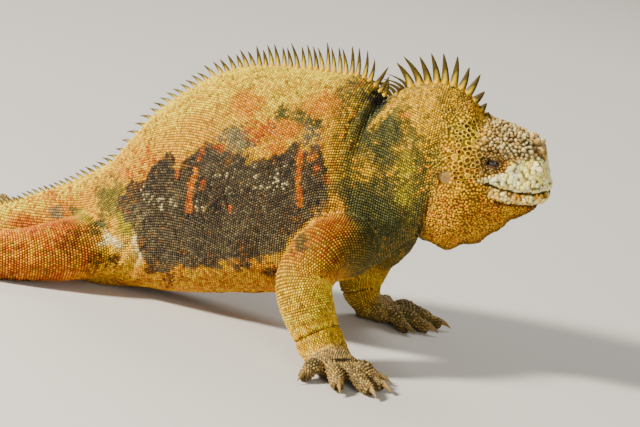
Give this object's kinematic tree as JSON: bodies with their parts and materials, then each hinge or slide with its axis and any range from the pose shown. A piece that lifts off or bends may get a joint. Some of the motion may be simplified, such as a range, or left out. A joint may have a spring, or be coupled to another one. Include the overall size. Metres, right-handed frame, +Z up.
{
  "type": "marine iguana",
  "caption": "Life-size still model of a marine iguana propped on straight forelegs, rump and tail on the floor, with a spiny back crest and blunt knobbed head.",
  "frame": {"origin": "middle of the footprint box, on the floor", "axes": "+X towards the nose along the trunk, +Y towards the animal's left, +Z up"},
  "size_m": [0.866, 0.3268, 0.2404],
  "materials": {
    "hide": "dry granular scales, mottled yellow, orange, olive and charcoal",
    "head_hide": "dry knobbed scales crusted with pale salt",
    "limb_hide": "dry fine scales in rows, orange to golden",
    "eye": "wet, dark and glossy",
    "ear_drum": "thin smooth membrane"
  },
  "bodies": {
    "root": {"tail_tip": "hide", "tail_middle": "hide", "tail_root": "hide", "torso": "hide", "neck": "hide", "head": "head_hide", "lower_jaw": "head_hide", "eye_left": "eye", "ear_left": "ear_drum", "eye_right": "eye", "ear_right": "ear_drum", "foreleg_right_upper": "limb_hide", "foreleg_right_lower": "limb_hide", "hand_right": "limb_hide", "hindleg_right_upper": "limb_hide", "hindleg_right_lower": "limb_hide", "foot_right": "limb_hide", "foreleg_left_upper": "limb_hide", "foreleg_left_lower": "limb_hide", "hand_left": "limb_hide", "hindleg_left_upper": "limb_hide", "hindleg_left_lower": "limb_hide", "foot_left": "limb_hide"}
  },
  "joints": []
}
